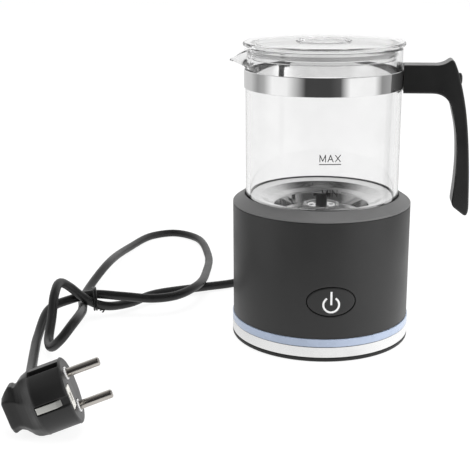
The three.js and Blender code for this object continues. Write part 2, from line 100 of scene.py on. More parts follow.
# ---- materials ----
class Nodes:
    """A node tree, with short ways to add nodes to it."""

    def __init__(self, tree):
        self.tree = tree

    def feed(self, target, value):
        """Links a socket to an input, or sets the input to a plain value."""
        if isinstance(value, bpy.types.NodeSocket):
            self.tree.links.new(value, target)
        else:
            target.default_value = value

    def node(self, kind, inputs, **values):
        """Adds a node with these values and inputs."""
        made = self.tree.nodes.new(kind)
        for key, value in values.items():
            setattr(made, key, value)
        for key, value in inputs.items():
            self.feed(made.inputs[key], value)
        return made

    def maths(self, operation, *values):
        return self.node("ShaderNodeMath", dict(enumerate(values)), operation=operation).outputs[0]

    def parts(self, place):
        return self.node("ShaderNodeSeparateXYZ", {0: place}).outputs

    def radius(self, x, y):
        squares = self.maths("ADD", self.maths("MULTIPLY", x, x), self.maths("MULTIPLY", y, y))
        return self.maths("SQRT", squares)

    def noise(self, place, scale, detail, rough=0.55):
        inputs = {"Scale": scale, "Detail": detail, "Roughness": rough, "Vector": place}
        return self.node("ShaderNodeTexNoise", inputs).outputs["Fac"]

    def between(self, value, low_end, high_end, start=0.3, stop=0.7):
        inputs = {"From Min": start, "From Max": stop, "To Min": low_end, "To Max": high_end, "Value": value}
        return self.node("ShaderNodeMapRange", inputs).outputs[0]

    def ramp(self, value, stops):
        """A ramp through (position, colour) stops."""
        node = self.node("ShaderNodeValToRGB", {0: value})
        ends = node.color_ramp.elements
        for _ in stops[2:]:
            ends.new(0.5)
        for end, (position, colour) in zip(ends, stops):
            end.position = position
            end.color = (*colour, 1)
        return node.outputs["Color"]

    def tones(self, value, first, last):
        return self.ramp(value, [(0.3, first), (0.7, last)])

    def levels(self, value, stops):
        """A grey ramp through (value, level) stops, from the first value to the last."""
        first, last = stops[0][0], stops[-1][0]
        greys = [((at - first) / (last - first), grey(level)) for at, level in stops]
        return self.ramp(self.between(value, 0, 1, first, last), greys)

    def mix(self, factor, first, second):
        """Blends two colours."""
        return self.node("ShaderNodeMix", {0: factor, 6: first, 7: second}, data_type="RGBA").outputs[2]

    def bumps(self, height, strength, depth):
        inputs = {"Strength": strength, "Distance": depth * MM, "Height": height}
        return self.node("ShaderNodeBump", inputs).outputs[0]


LOOKS = {}


class Paint(Nodes):
    """One material with its principled shader, kept in LOOKS under its name."""

    def __init__(self, name):
        self.material = bpy.data.materials.new(name)
        self.material.use_nodes = True
        super().__init__(self.material.node_tree)
        self.place = self.node("ShaderNodeTexCoord", {}).outputs["Object"]
        LOOKS[name] = self.material

    def wear(self, **sockets):
        """Feeds the shader's inputs, each under its own name."""
        shader = self.tree.nodes["Principled BSDF"]
        for key, value in sockets.items():
            self.feed(shader.inputs[key.replace("_", " ")], value)

    def spun(self):
        """Radius, height and a little of the angle: lines drawn with these run round the axis."""
        x, y, z = self.parts(self.place)
        angle = self.maths("MULTIPLY", self.maths("ARCTAN2", y, x), 0.05 * MM)
        inputs = {0: self.radius(x, y), 1: angle, 2: z}
        return self.node("ShaderNodeCombineXYZ", inputs).outputs[0]

    def drawn(self):
        """Places squeezed along X: lines drawn with these run along X."""
        inputs = {"Vector": self.place, "Scale": (0.06, 1, 1)}
        return self.node("ShaderNodeMapping", inputs).outputs[0]


def grey(value):
    return (value, value, value)


def moulded(name, first, last, rough, grain, bump=0.25, depth=0.03, patch=45, **sockets):
    """Moulded plastic or rubber: clouded tone, a fine spark-eroded grain and uneven gloss."""
    paint = Paint(name)
    cloud = paint.noise(paint.place, patch, 4)
    fine = paint.noise(paint.place, grain * 2, 2, 0.7)
    paint.wear(Base_Color=paint.tones(cloud, first, last), Roughness=paint.between(cloud, *rough),
               Normal=paint.bumps(fine, bump, depth), **sockets)


def metal(name, first, last, rough, lines, bump=0.1, depth=0.01, spun=True):
    """Turned or drawn metal: fine lines that run round the axis, or along X when it isn't spun."""
    paint = Paint(name)
    streak = paint.noise(paint.spun() if spun else paint.drawn(), lines, 3)
    cloud = paint.noise(paint.place, 60, 3)
    paint.wear(Base_Color=paint.tones(cloud, first, last), Roughness=paint.between(streak, *rough),
               Normal=paint.bumps(streak, bump, depth), Metallic=1.0)


def clear(name, tone, rough, ior, ripple=0.02, amount=1.0):
    """Clear glass or plastic with faint ripples and slightly uneven polish."""
    paint = Paint(name)
    wave = paint.noise(paint.place, 55, 2)
    film = paint.noise(paint.place, 240, 3)
    paint.wear(Base_Color=paint.tones(wave, grey(tone[0]), grey(tone[1])),
               Roughness=paint.between(film, *rough), Normal=paint.bumps(wave, ripple, 0.2),
               Transmission_Weight=amount, IOR=ior)


moulded("black_shell", grey(0.016), grey(0.021), (0.34, 0.44), 1500, 0.30, 0.02)
moulded("collar_plastic", grey(0.125), grey(0.15), (0.42, 0.55), 1500, 0.35, 0.03)
moulded("cover_plastic", grey(0.008), grey(0.012), (0.5, 0.62), 900)
moulded("light_diffuser", (0.37, 0.44, 0.57), (0.42, 0.49, 0.63), (0.22, 0.32), 400, 0.05,
        0.01, Coat_Weight=0.3)
metal("brushed_trim", grey(0.86), grey(0.93), (0.16, 0.30), 9000, 0.12, 0.01)
moulded("foot_rubber", grey(0.012), grey(0.02), (0.75, 0.9), 700, 0.6, 0.06)
metal("zinc_screws", (0.58, 0.58, 0.55), (0.72, 0.71, 0.67), (0.25, 0.45), 1800, 0.2)
metal("plate_metal", grey(0.55), grey(0.66), (0.22, 0.42), 3200, 0.25, 0.02)
moulded("clear_silicone", grey(0.62), grey(0.72), (0.35, 0.5), 500, 0.1, 0.02, Subsurface_Weight=0.2)
metal("element_metal", (0.35, 0.33, 0.3), (0.48, 0.45, 0.4), (0.35, 0.55), 900, 0.3)
moulded("bracket_plastic", grey(0.2), grey(0.26), (0.5, 0.62), 700, 0.3)
moulded("circuit_board", (0.01, 0.085, 0.035), (0.015, 0.13, 0.05), (0.28, 0.4), 600, 0.15,
        patch=260, Coat_Weight=0.3)
moulded("component_plastic", grey(0.012), grey(0.02), (0.4, 0.55), 800)
moulded("pale_plastic", (0.66, 0.65, 0.61), (0.76, 0.75, 0.71), (0.42, 0.55), 900, 0.2)
moulded("lead_rubber", grey(0.010), grey(0.016), (0.34, 0.46), 600, 0.22, 0.03)
moulded("symbol_white", grey(0.82), grey(0.9), (0.35, 0.45), 900, 0.1, 0.01)
metal("shaft_steel", grey(0.6), grey(0.7), (0.15, 0.3), 1500)
clear("clear_glass", (0.90, 0.93), (0.0, 0.015), 1.32, 0.015)
metal("polished_steel", grey(0.80), grey(0.88), (0.04, 0.10), 2600, 0.03, 0.005)
moulded("black_gloss", grey(0.013), grey(0.018), (0.26, 0.36), 1300, 0.12, 0.015)
clear("clear_plastic", (0.97, 0.99), (0.02, 0.07), 1.10, 0.03, amount=0.92)
moulded("plug_plastic", grey(0.011), grey(0.017), (0.30, 0.44), 800, 0.45, 0.05)
metal("plug_metal", (0.50, 0.47, 0.44), (0.62, 0.59, 0.55), (0.14, 0.26), 1600, 0.12, spun=False)
metal("clip_metal", (0.80, 0.80, 0.76), (0.92, 0.92, 0.88), (0.30, 0.42), 700, 0.08, spun=False)
metal("band_steel", grey(0.86), grey(0.92), (0.03, 0.06), 500, 0.012)
moulded("mark_ink", grey(0.006), grey(0.01), (0.35, 0.5), 900, 0.1, 0.005)
moulded("pin_collar", grey(0.72), grey(0.8), (0.35, 0.5), 900, 0.1, 0.01)
clear("clear_seal", (0.93, 0.97), (0.10, 0.22), 1.2, 0.05, amount=0.7)


# ---- shape helpers: everything below is drawn in millimetres ----
def polar(radius, angle, z=0):
    return (radius * math.cos(angle), radius * math.sin(angle), z)


def meshed(name, made, angle=35):
    """Makes an object of a bmesh, smooth but for the edges that are sharper than the angle."""
    mesh = bpy.data.meshes.new(name)
    made.to_mesh(mesh)
    made.free()
    mesh.shade_smooth()
    mesh.set_sharp_from_angle(angle=math.radians(angle))
    return placed(name, mesh)


def shape(name, points, faces, angle=35):
    """A mesh object from points in millimetres, with shared points merged and faces outwards."""
    made = bmesh.new()
    corners = [made.verts.new(Vector(p) * MM) for p in points]
    for face in faces:
        if len(set(face)) > 2:
            made.faces.new([corners[i] for i in dict.fromkeys(face)])
    bmesh.ops.remove_doubles(made, verts=made.verts, dist=2e-7)
    bmesh.ops.recalc_face_normals(made, faces=made.faces)
    return meshed(name, made, angle)


def rounded(outline, closed=True, steps=4):
    """An outline of (x, y) or (x, y, radius) corners with those radii rounded."""
    corners = [(Vector(c[:2]), c[2] if len(c) > 2 else 0) for c in outline]
    count = len(corners)
    result = []
    for i, (corner, radius) in enumerate(corners):
        if not radius or (not closed and i in (0, count - 1)):
            result.append(tuple(corner))
            continue
        before = corners[i - 1][0] - corner
        after = corners[(i + 1) % count][0] - corner
        half = before.angle(after) / 2
        reach = min(radius / math.tan(half), before.length * 0.48, after.length * 0.48)
        size = reach * math.tan(half)
        middle = corner + (before.normalized() + after.normalized()).normalized() * (size / math.sin(half))
        start = corner + before.normalized() * reach - middle
        end = corner + after.normalized() * reach - middle
        sweep = start.angle_signed(end)
        for k in range(steps + 1):
            turn = Matrix.Rotation(-sweep * k / steps, 2)
            result.append(tuple(middle + turn @ start))
    return result


def skin(faces, start, rows, count, wrap=False, around=True):
    """Adds the faces between rows of points, with the same count of points in each row."""
    for i in range(rows if wrap else rows - 1):
        a, b = start + i * count, start + (i + 1) % rows * count
        for k in range(count if around else count - 1):
            n = (k + 1) % count
            faces.append((a + k, a + n, b + n, b + k))


def loft(name, rings, wrap=False, around=True, angle=35):
    """Skins a row of rings, all with the same number of points. The ends are closed unless it wraps."""
    count = len(rings[0])
    points = [p for r in rings for p in r]
    faces = []
    skin(faces, 0, len(rings), count, wrap, around)
    if not wrap:
        for start in (0, (len(rings) - 1) * count):
            middle = len(points)
            points.append(sum((Vector(p) for p in points[start:start + count]), Vector()) / count)
            faces += [(start + k, start + (k + 1) % count, middle) for k in range(count)]
    return shape(name, points, faces, angle)


def turned(name, profile, sides, steps=4):
    """A profile of (radius, height, corner radius) turned about Z. It starts on the axis or is a loop."""
    closed = profile[0][0] > 0
    outline = rounded(profile, closed, steps)
    rings = [[polar(r, TAU * k / sides, z) for r, z in outline] for k in range(sides)]
    return loft(name, rings, wrap=True, around=closed)


def rod(radius, bottom, top, sides=40, place=Matrix()):
    """A round cutter, in place."""
    outline = [(0, bottom), (radius, bottom), (radius, top), (0, top)]
    return moved(turned("cutter", outline, sides), place)


def merged_shape(name, parts):
    """Several shapes as one object."""
    points, faces = [], []
    for part in parts:
        start = len(points)
        points += [part.matrix_world @ v.co / MM for v in part.data.vertices]
        faces += [tuple(start + i for i in p.vertices) for p in part.data.polygons]
        bpy.data.objects.remove(part)
    return shape(name, points, faces)


def box(name, size, middle, radius=0.3):
    """A block with rounded edges."""
    made = bmesh.new()
    place = Matrix.Translation(Vector(middle) * MM) @ Matrix.Diagonal((*(Vector(size) * MM), 1))
    bmesh.ops.create_cube(made, size=1, matrix=place)
    if radius:
        bmesh.ops.bevel(made, geom=made.edges, offset=radius * MM, segments=3, profile=0.5,
                        affect="EDGES")
    return meshed(name, made)


def moved(thing, matrix):
    """Moves a shape's own vertices, by a matrix in millimetres."""
    scaled = matrix.copy()
    scaled.translation = matrix.translation * MM
    thing.data.transform(scaled)
    thing.data.update()
    return thing


def fixed(thing):
    """Applies a shape's modifiers to its mesh."""
    bpy.context.view_layer.update()
    graph = bpy.context.evaluated_depsgraph_get()
    mesh = bpy.data.meshes.new_from_object(thing.evaluated_get(graph), depsgraph=graph)
    thing.modifiers.clear()
    thing.data = mesh
    return thing


def cut(thing, cutters, operation="DIFFERENCE"):
    """Cuts other shapes out of a shape."""
    for cutter in cutters:
        step = thing.modifiers.new("cut", "BOOLEAN")
        step.operation = operation
        step.solver = "EXACT"
        step.object = cutter
        fixed(thing)
        bpy.data.objects.remove(cutter)
    thing.data.shade_smooth()
    thing.data.set_sharp_from_angle(angle=math.radians(30))
    return thing


def tube(name, path, radius, sides, wrap=False):
    """A round tube along a path. Its ends are closed unless it wraps."""
    path = [Vector(p) for p in path]
    count = len(path)
    side = None
    rings = []
    for i, point in enumerate(path):
        before = path[i - 1] if i or wrap else point
        after = path[(i + 1) % count] if i < count - 1 or wrap else point
        along = (after - before).normalized()
        if side is None:
            side = along.orthogonal().normalized()
        side = (side - along * side.dot(along)).normalized()
        other = along.cross(side)
        turns = [TAU * k / sides for k in range(sides)]
        rings.append([point + radius * (math.cos(a) * side + math.sin(a) * other) for a in turns])
    return loft(name, rings, wrap=wrap, angle=60)


def curve_between(p1, tangent1, p2, tangent2, t):
    """The smooth curve from p1 to p2, at a share t of the way."""
    bend = (3 * (p2 - p1) - 2 * tangent1 - tangent2) * t * t
    return p1 + tangent1 * t + bend + (2 * (p1 - p2) + tangent1 + tangent2) * t ** 3


def spline(points, steps):
    """A smooth line through points (centripetal Catmull-Rom, as the CAD's lead has)."""
    points = [Vector(p) for p in points]
    ends = [2 * points[0] - points[1], *points, 2 * points[-1] - points[-2]]
    result = []
    for i in range(len(points) - 1):
        p0, p1, p2, p3 = ends[i:i + 4]
        d0, d1, d2 = [math.sqrt((b - a).length) for a, b in ((p0, p1), (p1, p2), (p2, p3))]
        t1 = ((p1 - p0) / d0 - (p2 - p0) / (d0 + d1) + (p2 - p1) / d1) * d1
        t2 = ((p2 - p1) / d1 - (p3 - p1) / (d1 + d2) + (p3 - p2) / d2) * d1
        result += [curve_between(p1, t1, p2, t2, k / steps) for k in range(steps)]
    return result + [points[-1]]


def piece(thing, body, slot, *nodes, look=None):
    """Gives a new piece its body and its material, named by the slot unless a look is given, and hides the
    CAD nodes that it stands for.
    """
    thing.data.materials.clear()
    thing.data.materials.append(LOOKS[look or slot])
    if thing.type == "MESH":
        thing.modifiers.new("level", "WEIGHTED_NORMAL").keep_sharp = True
    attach(thing, body)
    if nodes:
        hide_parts(*nodes)
    return thing


def lathe(name, body, slot, node, sides, profile, place=Matrix(), steps=4, look=None):
    """A turned piece, in place."""
    thing = moved(turned(name, profile, sides, steps), place)
    return piece(thing, body, slot, node, look=look)


# ---- mains lead (its route repeats the CAD's, in metres) ----
LEAD_ROUTE = [
    (0, 0.0766, 0.023), (-0.0006, 0.085, 0.0225), (-0.012, 0.0985, 0.0155), (-0.032, 0.0985, 0.0065),
    (-0.054, 0.0907, 0.0035), (-0.076, 0.0813, 0.004), (-0.114, 0.059, 0.0065),
    (-0.130, 0.0443, 0.0055), (-0.145, 0.0326, 0.0078), (-0.155, 0.0268, 0.013),
    (-0.1625, 0.0245, 0.0192), (-0.1688, 0.0218, 0.026), (-0.174, 0.013, 0.032),
    (-0.176, -0.002, 0.029), (-0.177, -0.013, 0.017), (-0.1775, -0.028, 0.0075),
    (-0.1735, -0.043, 0.0085), (-0.167, -0.0485, 0.0155), (-0.160, -0.042, 0.023),
    (-0.157, -0.026, 0.0235), (-0.1608, 0.024, 0.0104), (-0.1644, 0.0686, 0.0038),
    (-0.1516, 0.121, 0.0105), (-0.138, 0.1888, 0.004), (-0.1202, 0.225, 0.0034),
    (-0.101, 0.2322, 0.0035), (-0.0816, 0.215, 0.0035), (-0.0723, 0.164, 0.0036),
    (-0.0742, 0.1115, 0.007), (-0.0824, 0.056, 0.0134), (-0.097, 0.0375, 0.0128),
    (-0.113, 0.0325, 0.0128), (-0.134, 0.0333, 0.0146), (-0.1553, 0.0332, 0.0164),
    (-0.169, 0.0272, 0.0152), (-0.1818, 0.0145, 0.0134), (-0.1864, -0.0145, 0.005),
    (-0.1856, -0.036, 0.0035), (-0.184, -0.056, 0.0036), (-0.1814, -0.080, 0.0058),
    (-0.1788, -0.094, 0.0082), (-0.1776, -0.1052, 0.0096),
]
LEAD_DIAMETER = 0.0062


def make_lead():
    line = spline(LEAD_ROUTE, 14)
    data = bpy.data.curves.new("mains_lead", "CURVE")
    data.dimensions = "3D"
    data.bevel_depth = LEAD_DIAMETER / 2
    data.bevel_resolution = 6
    data.use_fill_caps = True
    strand = data.splines.new("POLY")
    strand.points.add(len(line) - 1)
    for point, place in zip(strand.points, line):
        point.co = (*place, 1)
        point.radius = 1
    strand.use_smooth = True
    length = sum((b - a).length for a, b in zip(line, line[1:]))
    return piece(placed("mains_lead", data), "base", "lead_rubber", "cord"), length


lead, lead_length = make_lead()

# ---- plug, drawn with its pins along +X and its face at X = 0 ----
PLUG_RADIUS = 18.6
PIN_OFFSET = 9.5
PLUG_TURN = Euler((math.radians(82.8), math.radians(-19.2), math.radians(3.5)), "XYZ").to_matrix().to_4x4()
PLUG_PLACE = Matrix.Translation((-149.05, -142, 23.9)) @ PLUG_TURN
FROM_Z_TO_X = Matrix.Rotation(math.radians(90), 4, "Y")
LEAD_EXIT_X = -29.5
INSERT_Y, INSERT_Z = -0.7, 10.4

# stations of the plug's body along X: place, half heights above and below, half width, ridge height, facets
PLUG_STATIONS = [
    (0, 17.4, 17.4, 17.4, 4, 0), (-0.5, 18.2, 18.2, 18.2, 4, 0), (-1.2, 18.6, 18.6, 18.6, 4, 0),
    (-9, 18.6, 18.6, 18.6, 4, 0), (-17.6, 18.6, 18.6, 18.6, 4, 0), (-18.6, 18.3, 18.4, 18.2, 4, 0.04),
    (-20.2, 17.4, 17.8, 16.8, 4, 0.3), (-22.2, 16.6, 17.1, 14.6, 4.4, 0.65),
    (-24, 15.7, 16.2, 12.9, 4.8, 0.9),
    (-25.8, 14.3, 14.9, 11.7, 5.2, 1), (-27.2, 13.2, 13.2, 10.9, 6, 1), (-28.2, 13.0, 12.2, 10.4, 6.6, 1),
    (-28.9, 14.1, 11.3, 10.1, 7.2, 1), (-30.6, 14.4, 10.2, 9.7, 7.8, 1), (-31.6, 13.7, 9.8, 9.5, 8.2, 1),
    (-33.4, 12.2, 10.2, 9.2, 8.6, 1), (-34.9, 10.6, 10.8, 8.8, 8.6, 1), (-35.9, 9.6, 10.6, 8.3, 8.0, 1),
    (-36.3, 8.4, 9.2, 7.2, 7.0, 1),
]


def plug_section(up, down, wide, ridge, facets, count):
    """One section: round at the face, and a faceted grip with a ridge on each side behind it."""
    corners = [(0, up), (wide * 0.42, up, 0.8), (wide, ridge, 0.5), (wide * 0.97, -down * 0.62, 2.5),
               (wide * 0.55, -down, 2.5), (0, -down)]
    line = corners + [(-c[0], *c[1:]) for c in reversed(corners[1:-1])]
    line = [Vector(p) for p in rounded(line)]
    result = []
    for k in range(count):
        angle = TAU * k / count
        ray = Vector((math.sin(angle), math.cos(angle)))
        reach = 0
        for a, b in zip(line, line[1:] + line[:1]):
            edge = b - a
            flat = ray.x * edge.y - ray.y * edge.x
            if abs(flat) > 1e-9:
                along = (a.x * edge.y - a.y * edge.x) / flat
                share = (a.x * ray.y - a.y * ray.x) / flat
                if along > 0 and -1e-6 <= share <= 1 + 1e-6:
                    reach = max(reach, along)
        height = up if ray.y > 0 else down
        oval = 1 / math.sqrt((ray.x / wide) ** 2 + (ray.y / height) ** 2)
        result.append(ray * (oval + (reach - oval) * facets))
    return result


def plug_shell():
    """The moulded body: a round head for the socket and the faceted grip behind it."""
    rings = []
    for x, *section in PLUG_STATIONS:
        rings.append([(x, p.y, p.x) for p in plug_section(*section, 120)])
    return loft("plug_shell", rings)


def guide_cutter(side):
    """Takes the guide out of the plug's side: two deep slots with a low rib between them."""
    slots = []
    for way in (1, -1):
        section = [(2.9, 14.6), (8.0, 13.6), (8.7, 22), (2.9, 22)]
        slots.append(loft("c", [[(x, side * y, way * z) for z, y in section] for x in (-18.2, -1.2)]))
    rib = box("c", (17, 6, 8), (-9.7, side * (PLUG_RADIUS + 2.1), 0), 0)
    return cut(slots[0], [slots[1], rib], "UNION")


def make_plug():
    body = plug_shell()
    cutters = []
    for side in (1, -1):
        cutters.append(guide_cutter(side))
        cutters.append(box("c", (18.6, 4.9, 2.4), (-9, 0, side * (PLUG_RADIUS - 0.1)), 0.2))
        cutters.append(rod(3.9, -2.4, 2, 48, Matrix.Translation((0, side * PIN_OFFSET, 0)) @ FROM_Z_TO_X))
    cutters.append(box("c", (4.6, 13.2, 8.2), (0, INSERT_Y, INSERT_Z), 0.4))
    cut(body, cutters)
    remesh = body.modifiers.new("even", "REMESH")
    remesh.mode = "VOXEL"
    remesh.voxel_size = 0.3 * MM
    soften = body.modifiers.new("soften", "SMOOTH")
    soften.factor = 0.5
    soften.iterations = 2
    fixed(body)
    body.data.shade_smooth()
    made = [piece(moved(body, PLUG_PLACE), "base", "plug_plastic", "plug_body")]

    insert = box("plug_face_plate", (2.4, 12.4, 7.4), (-0.9, INSERT_Y, INSERT_Z), 0.4)
    opening = box("c", (6, 5.4, 3.8), (0.2, INSERT_Y, INSERT_Z), 0.2)
    rim = box("c", (1.6, 9.6, 5.8), (0.95, INSERT_Y, INSERT_Z), 0.1)
    cut(insert, [rim, opening])
    made.append(piece(moved(insert, PLUG_PLACE), "base", "pale_plastic", "plug_face_insert"))

    pin = [(0, -1.9), (2.4, -1.9, 0.2), (2.4, 19, 2.2), (0, 19)]
    sleeve = [(2.7, -2.0), (3.6, -2.0, 0.2), (3.6, 0.6, 0.4), (2.7, 0.6, 0.2)]
    for i, side in ((1, 1), (2, -1)):
        shift = PLUG_PLACE @ Matrix.Translation((0, side * PIN_OFFSET, 0)) @ FROM_Z_TO_X
        made.append(lathe(f"plug_pin_round_{i}", "base", "plug_metal", f"plug_pin_{i}", 40, pin, shift, 7))
        made.append(lathe(f"pin_sleeve_{i}", "base", "pale_plastic", f"pin_collar_{i}", 48, sleeve, shift,
                          look="pin_collar"))
        strip = moved(earth_strip(f"earth_strip_{i}", side), PLUG_PLACE)
        made.append(piece(strip, "base", "plug_metal", f"earth_clip_{i}", look="clip_metal"))

    profile = [(0, -38), (3.6, -38, 0.4)]
    for k in range(5):
        z = -36.4 + k * 2.8
        r = 4.2 + 0.2 * k
        profile += [(r, z, 0.4), (r, z + 1.7, 0.4), (r - 0.9, z + 1.9, 0.2), (r - 0.9, z + 2.7, 0.2)]
    profile += [(5.2, -22, 0.4), (5.2, -6), (0, -6)]
    shift = PLUG_PLACE @ Matrix.Translation((LEAD_EXIT_X, 0, 0))
    made.append(lathe("plug_lead_sleeve", "base", "lead_rubber", "plug_relief", 48, profile, shift))
    return made


def earth_strip(name, side):
    """The earth contact: a sprung strip in the plug's side with its front end bent in."""
    run = [(-18.1, 0.1), (-17.7, 0.6), (-12.5, 0.9), (-7.4, 0.8), (-6.4, 0.2), (-4.6, -1.4), (-3, -2.0)]
    rings = []
    for x, lift in run:
        z = PLUG_RADIUS - 0.9 + lift * 0.5
        section = rounded([(-1.8, -0.45, 0.2), (1.8, -0.45, 0.2), (1.8, 0.35, 0.2), (-1.8, 0.35, 0.2)])
        rings.append([(x, y, side * (z + h)) for y, h in section])
    return loft(name, rings)


plug_pieces = make_plug()


# ---- wire tie round the two strands ----
TIE_MIDDLE = Vector((-153, 30.7, 14))
TIE_TURN, TIE_LEAN = 0.15, 0.89
TIE_HALF_WIDE, TIE_HALF_HIGH = 5.3, 8.6


def make_tie():
    along = Vector(polar(1, TIE_TURN))
    level = Vector(polar(1, TIE_TURN + math.pi / 2))
    up = level * math.sin(TIE_LEAN) + Vector((0, 0, math.cos(TIE_LEAN)))
    across = along.cross(up)
    loops = []
    for turn in range(2):
        shift = along * (turn * 1.5 - 0.75)
        turns = [polar(1, TAU * k / 64) for k in range(64)]
        path = [TIE_MIDDLE + shift + TIE_HALF_WIDE * c * across + TIE_HALF_HIGH * s * up for c, s, _ in turns]
        loops.append(tube("t", path, 0.62, 10, wrap=True))
    knot = TIE_MIDDLE - up * 8.2 + across * 2.6
    away = (along * 0.5 - up * 0.6 + Vector((0, 0, 0.2))).normalized()
    for sign in (1, -1):
        path = []
        for k in range(40):
            t = k / 39
            spin = t * TAU * 1.6 + (0 if sign == 1 else math.pi)
            aside, ahead, _ = polar(0.6 + 2.2 * max(t - 0.6, 0), spin)
            path.append(knot + away * 7 * t + across * aside + along * ahead)
        loops.append(tube("t", path, 0.5, 8))
    return piece(merged_shape("lead_tie", loops), "base", "black_gloss", "cord_tie")


tie = make_tie()

# ---- base ----
BASE_R = high("base_housing").x
BASE_LOW, BASE_HIGH = low("base_housing").z, high("base_housing").z
BASE_INNER = BASE_R - 2.5
FLANGE = 1.7
STEM_R = 2
BUTTON_HALF = (high("power_button").x - FLANGE, 9.3)
BUTTON_MIDDLE = (low("power_button").z + high("power_button").z) / 2
RELIEF_Z = (low("strain_relief").z + high("strain_relief").z) / 2


def on_wall(x, z, radius, sign):
    return (x, sign * math.sqrt(radius * radius - x * x), z)


def wall_heights(rows):
    return [BASE_LOW + (BASE_HIGH - BASE_LOW) * k / rows for k in range(rows + 1)]


def wall_patch(points, faces, sign, half, hole_x, hole_z, hole_height, rows):
    """A panel of the round wall with an oval hole in it, from -half to half in X."""
    heights = wall_heights(rows)
    across = [-half + 2 * half * k / rows for k in range(rows + 1)]
    edge = [(x, BASE_LOW) for x in across[:-1]] + [(half, z) for z in heights[:-1]]
    edge += [(x, BASE_HIGH) for x in reversed(across[1:])] + [(-half, z) for z in reversed(heights[1:])]
    oval = []
    for x, z in edge:
        oval.append(polar(1, math.atan2((z - hole_height) / hole_z, x / hole_x))[:2])
    lip = 0.5
    rings = []
    for k in range(12, -1, -1):
        ease = (k / 12) ** 1.5
        ring = []
        for (x, z), (cos, sin) in zip(edge, oval):
            ox, oz = (hole_x + lip) * cos, hole_height + (hole_z + lip) * sin
            ring.append(on_wall(ox + (x - ox) * ease, oz + (z - oz) * ease, BASE_R, sign))
        rings.append(ring)
    for depth, grow in ((0.04, 0.3), (0.15, 0.13), (0.32, 0.03), (0.5, 0), (BASE_R - BASE_INNER, 0)):
        reach_x, reach_z = hole_x + grow, hole_z + grow
        rings.append([on_wall(reach_x * cos, hole_height + reach_z * sin, BASE_R - depth, sign)
                      for cos, sin in oval])
    for k in range(1, 5):
        ring = []
        for (x, z), (cos, sin) in zip(edge, oval):
            ox, oz = hole_x * cos, hole_height + hole_z * sin
            wide = x * BASE_INNER / BASE_R
            ring.append(on_wall(ox + (wide - ox) * k / 4, oz + (z - oz) * k / 4, BASE_INNER, sign))
        rings.append(ring)
    count = len(edge)
    start = len(points)
    for ring in rings:
        points += ring
    skin(faces, start, len(rings), count)
    last = start + (len(rings) - 1) * count
    for k in list(range(rows)) + list(range(2 * rows, 3 * rows)):
        n = (k + 1) % count
        faces.append((start + k, start + n, last + n, last + k))


def make_housing():
    points, faces = [], []
    rows, half = 28, 27.0
    button_gap, relief_hole = 0.35, 4.7
    wide, tall = BUTTON_HALF
    wall_patch(points, faces, -1, half, wide + button_gap, tall + button_gap, BUTTON_MIDDLE, rows)
    wall_patch(points, faces, 1, half, relief_hole, relief_hole, RELIEF_Z, rows)
    reach = math.asin(half / BASE_R)
    heights = wall_heights(rows)
    columns = 44
    for middle in (0, math.pi):
        start = len(points)
        loop = [(BASE_R, z) for z in heights] + [(BASE_INNER, z) for z in reversed(heights)]
        for k in range(columns + 1):
            angle = middle + (math.pi / 2 - reach) * (2 * k / columns - 1)
            points += [polar(r, angle, z) for r, z in loop]
        skin(faces, start, columns + 1, len(loop))
    return piece(shape("base_shell", points, faces), "base", "black_shell", "base_housing")


SCREW_CIRCLE_R = 40
COLLAR_R, FOOT_R = 57.5, 58.1


def screw_bores():
    bores = []
    for degrees in (60, 180, 300):
        place = Matrix.Translation(polar(SCREW_CIRCLE_R, math.radians(degrees)))
        for size in ((3.4, -0.5, 3.1), (1.7, 2, 5)):
            bores.append(rod(*size, 32, place))
    return bores


